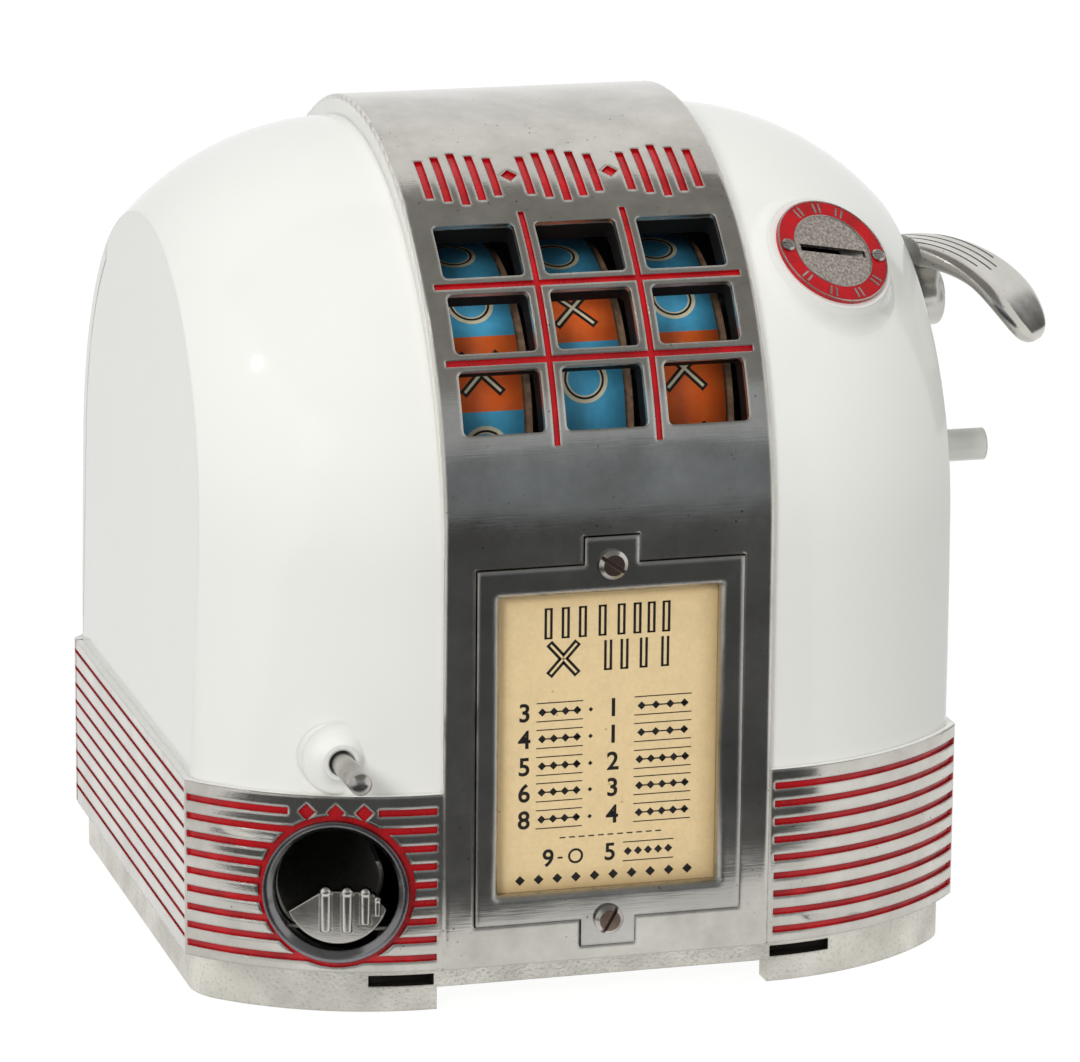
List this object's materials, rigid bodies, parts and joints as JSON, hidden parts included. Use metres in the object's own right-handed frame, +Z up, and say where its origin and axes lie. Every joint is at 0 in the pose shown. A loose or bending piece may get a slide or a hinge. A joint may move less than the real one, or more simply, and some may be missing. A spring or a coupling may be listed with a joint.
{
  "type": "trade stimulator",
  "caption": "Counter-top coin game with a crowned cast cabinet, reels behind a window grid, a side lever, a coin entry, an award card and a gum port with a plunger.",
  "frame": {"origin": "floor level under the middle of the plinth", "axes": "+Z up, -Y out of the front, +X towards the lever"},
  "size_m": [0.2435, 0.2282, 0.2225],
  "materials": {
    "enamel_white": "cast aluminium under gloss ivory enamel, with the band and skirt left bare",
    "cast_aluminium": "polished casting",
    "enamel_red": "gloss red enamel",
    "steel": "bright",
    "brass": "turned",
    "card": "printed card",
    "clear_sheet": "clear",
    "reel_print": "printed strip"
  },
  "bodies": {
    "cabinet": {"front_casting": "enamel_white", "plinth": "cast_aluminium", "plinth_screws": "steel", "card_frame": "cast_aluminium", "award_card": "card", "card_cover": "clear_sheet", "card_frame_screws": "steel", "window_pane": "clear_sheet", "coin_entry_ring": "enamel_red", "coin_entry_disc": "steel", "coin_entry_screws": "steel", "coin_chute": "steel", "cash_box": "steel", "shaft_bush": "brass", "lever_spring": "steel", "plunger_spring": "steel", "gum_housing": "cast_aluminium", "gum_chute": "cast_aluminium", "gum_flap_pin": "steel", "side_plate_left": "steel", "side_plate_right": "steel", "frame_screws": "steel", "tie_rods": "steel", "tie_rod_nuts": "steel", "reel_shaft": "steel", "reel_spacers": "brass", "shaft_nuts": "steel", "lock_keeper": "steel", "door_hinge_pins": "steel"},
    "door": {"rear_door": "enamel_white", "lock_body": "steel"},
    "lock": {"lock_plug": "brass", "lock_cam": "steel"},
    "lever": {"lever": "cast_aluminium", "lever_shaft": "steel", "lever_pin": "steel", "drive_crank": "steel"},
    "plunger": {"gum_plunger": "steel", "gum_slide": "brass"},
    "flap": {"gum_flap": "cast_aluminium"},
    "reel_left": {"reel_drum_left": "cast_aluminium", "reel_strip_left": "reel_print", "star_wheel_left": "steel"},
    "reel_centre": {"reel_drum_centre": "cast_aluminium", "reel_strip_centre": "reel_print", "star_wheel_centre": "steel"},
    "reel_right": {"reel_drum_right": "cast_aluminium", "reel_strip_right": "reel_print", "star_wheel_right": "steel"},
    "kicker": {"kicker_bail": "steel", "kicker_shaft": "steel"},
    "stops": {"stop_bail": "steel", "stop_shaft": "steel"}
  },
  "joints": [
    {"name": "door_open", "type": "hinge", "parent": "cabinet", "child": "door", "pos_m": [0, 0.1045, 0.015], "axis": [-1, 0, 0], "range_deg": [0, 90]},
    {"name": "lock_turn", "type": "hinge", "parent": "door", "child": "lock", "pos_m": [0, 0.09, 0.098], "axis": [0, 1, 0], "range_deg": [0, 90]},
    {"name": "lever_pull", "type": "hinge", "parent": "cabinet", "child": "lever", "pos_m": [0.1, -0.018, 0.165], "axis": [1, 0, 0], "range_deg": [0, 50], "stiffness_Nm_per_rad": 0.15, "springref_deg": -20.05, "deforming": ["lever_spring"]},
    {"name": "plunger_press", "type": "slide", "parent": "cabinet", "child": "plunger", "axis": [0, 1, 0], "range_m": [0, 0.016], "stiffness_N_per_m": 150, "springref_m": -0.01, "deforming": ["plunger_spring"]},
    {"name": "flap_swing", "type": "hinge", "parent": "cabinet", "child": "flap", "pos_m": [-0.07041, -0.0922, 0.0228], "axis": [0.9398, -0.3417, 0], "range_deg": [0, 35], "stiffness_Nm_per_rad": 0.003, "springref_deg": -17.19},
    {"name": "reel_left_spin", "type": "hinge", "parent": "cabinet", "child": "reel_left", "pos_m": [0, -0.02967, 0.14189], "axis": [1, 0, 0], "continuous": true},
    {"name": "reel_centre_spin", "type": "hinge", "parent": "cabinet", "child": "reel_centre", "pos_m": [0, -0.02967, 0.14189], "axis": [1, 0, 0], "continuous": true},
    {"name": "reel_right_spin", "type": "hinge", "parent": "cabinet", "child": "reel_right", "pos_m": [0, -0.02967, 0.14189], "axis": [1, 0, 0], "continuous": true},
    {"name": "kicker_rock", "type": "hinge", "parent": "cabinet", "child": "kicker", "pos_m": [0, -0.00385, 0.09333], "axis": [1, 0, 0], "range_deg": [0, 10]},
    {"name": "stop_lift", "type": "hinge", "parent": "cabinet", "child": "stops", "pos_m": [0, 0.02201, 0.1607], "axis": [1, 0, 0], "range_deg": [-10, 0]}
  ],
  "couplings": [
    {"joint": "kicker_rock", "follows": "lever_pull", "ratio": 0.2},
    {"joint": "stop_lift", "follows": "lever_pull", "ratio": -0.2}
  ]
}
